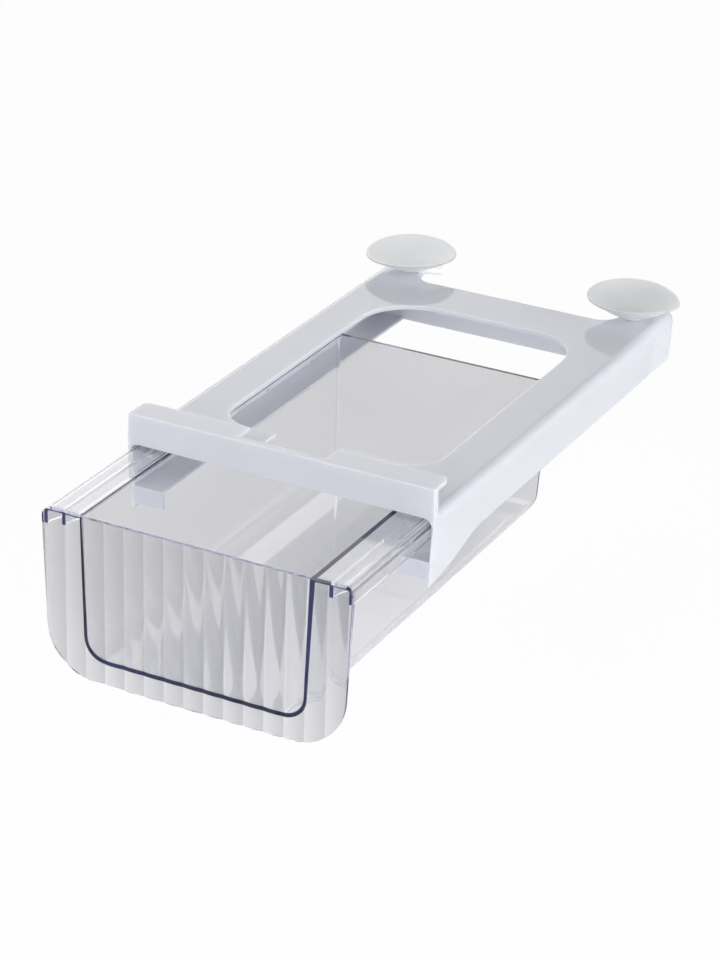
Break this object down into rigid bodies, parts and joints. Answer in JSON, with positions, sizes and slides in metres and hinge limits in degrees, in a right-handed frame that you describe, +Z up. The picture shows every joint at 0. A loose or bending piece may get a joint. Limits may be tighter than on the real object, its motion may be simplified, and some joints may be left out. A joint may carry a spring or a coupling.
{
  "type": "fridge organizer bin",
  "caption": "Pull-out fridge bin: a white frame hooks over a shelf edge and carries a clear drawer with a fluted front.",
  "frame": {"origin": "middle of the front bar's back face at the hook lips' underside, where the shelf's front top edge sits", "axes": "+Z up, +Y towards the back of the fridge, +X to the right as seen from the drawer's front"},
  "size_m": [0.1986, 0.4049, 0.1111],
  "materials": {
    "white_plastic": "glossy, cool white",
    "clear_plastic": "clear, polished",
    "soft_vinyl": "translucent, satin"
  },
  "bodies": {
    "hanger": {"hanger_frame": "white_plastic"},
    "drawer": {"clear_drawer": "clear_plastic"},
    "left_cup": {"suction_cup_left": "soft_vinyl"},
    "right_cup": {"suction_cup_right": "soft_vinyl"}
  },
  "joints": [
    {"name": "drawer_slide", "type": "slide", "parent": "hanger", "child": "drawer", "axis": [0, -1, 0], "range_m": [-0.0805, 0.12]},
    {"name": "left_cup_turn", "type": "hinge", "parent": "hanger", "child": "left_cup", "pos_m": [-0.0723, 0.287, 0], "axis": [0, 0, 1], "continuous": true},
    {"name": "right_cup_turn", "type": "hinge", "parent": "hanger", "child": "right_cup", "pos_m": [0.0723, 0.287, 0], "axis": [0, 0, 1], "continuous": true}
  ]
}
